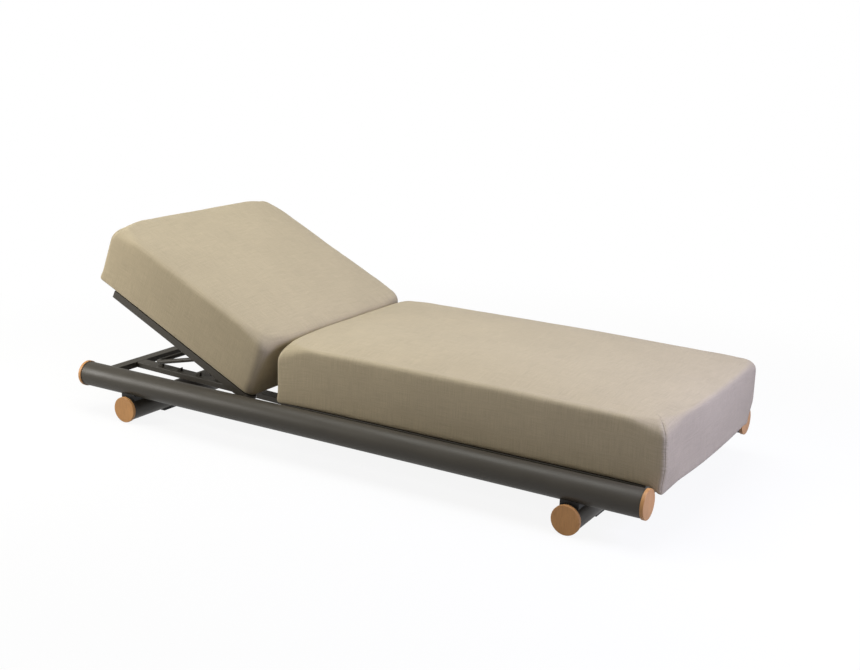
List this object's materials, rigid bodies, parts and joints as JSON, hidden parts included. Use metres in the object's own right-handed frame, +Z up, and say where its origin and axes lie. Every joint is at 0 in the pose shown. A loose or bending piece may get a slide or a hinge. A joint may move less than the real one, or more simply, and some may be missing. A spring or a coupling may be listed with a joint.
{
  "type": "relaxation lounger",
  "caption": "Low spa lounger on round tubes with wooden end discs, thick seat and backrest cushions, and a backrest that tilts on a stay over a toothed rack.",
  "frame": {"origin": "on the floor under the middle of the whole object's box", "axes": "+X runs from the head to the foot, +Y across to the far side, +Z up"},
  "size_m": [2.05, 0.923, 0.6194],
  "materials": {
    "powder_coat": "taupe grey powder coat, fine satin texture",
    "wood": "oiled hardwood discs with fine grain",
    "fabric": "plain woven outdoor cloth, beige",
    "black_plastic": "black nylon and rubbery pads, matte",
    "steel": "plain stainless fasteners"
  },
  "bodies": {
    "base": {"side_tube_near": "powder_coat", "side_tube_far": "powder_coat", "cross_tube_head": "powder_coat", "cross_tube_foot": "powder_coat", "cap_head_near": "wood", "cap_head_far": "wood", "cap_foot_near": "wood", "cap_foot_far": "wood", "cross_cap_head_near": "wood", "cross_cap_head_far": "wood", "cross_cap_foot_near": "wood", "cross_cap_foot_far": "wood", "cap_plugs": "black_plastic", "cap_screws": "steel", "saddle_pads": "black_plastic", "clamp_bolts": "steel", "clamp_nuts": "steel", "floor_glides": "black_plastic", "glide_screws": "steel", "head_bar": "powder_coat", "mid_bar": "powder_coat", "seat_bar_head": "powder_coat", "seat_bar_foot": "powder_coat", "foot_bar": "powder_coat", "rack_rail_near": "powder_coat", "rack_rail_far": "powder_coat", "rack_teeth_near": "powder_coat", "rack_teeth_far": "powder_coat", "rack_brace": "powder_coat", "hinge_bosses": "powder_coat", "hinge_bolts": "steel", "seat_rail_near": "powder_coat", "seat_rail_far": "powder_coat", "seat_slat_1": "powder_coat", "seat_slat_2": "powder_coat", "seat_slat_3": "powder_coat", "seat_slat_4": "powder_coat", "seat_slat_5": "powder_coat", "seat_slat_6": "powder_coat", "seat_slat_7": "powder_coat", "seat_slat_8": "powder_coat", "seat_cushion": "fabric"},
    "backrest": {"back_rail_near": "powder_coat", "back_rail_far": "powder_coat", "back_foot_rail": "powder_coat", "back_lift_bar": "powder_coat", "back_head_rail": "powder_coat", "back_slat_1": "powder_coat", "back_slat_2": "powder_coat", "back_slat_3": "powder_coat", "back_slat_4": "powder_coat", "back_slat_5": "powder_coat", "back_rail_plugs": "black_plastic", "hinge_bushes": "black_plastic", "stay_lugs": "powder_coat", "stay_pins": "steel"},
    "stay": {"stay_arm_near": "powder_coat", "stay_arm_far": "powder_coat", "stay_rod": "powder_coat"},
    "loose_back_cushion": {"back_cushion": "fabric"}
  },
  "joints": [
    {"name": "backrest_hinge", "type": "hinge", "parent": "base", "child": "backrest", "pos_m": [-0.378, 0, 0.1415], "axis": [0, 1, 0], "range_deg": [-25, 44]},
    {"name": "stay_pivot", "type": "hinge", "parent": "backrest", "child": "stay", "pos_m": [-0.60801, 0, 0.20903], "axis": [0, -1, 0], "range_deg": [-46.3, 81.45]},
    {"name": "back_cushion_slide", "type": "slide", "parent": "backrest", "child": "loose_back_cushion", "axis": [-0.9063, 0, 0.4226], "range_m": [-0.0902, 0.1586]}
  ],
  "couplings": [
    {"joint": "stay_pivot", "follows": "backrest_hinge", "ratio": 1.85},
    {"joint": "back_cushion_slide", "follows": "backrest_hinge", "m_per_rad": 0.20626}
  ]
}
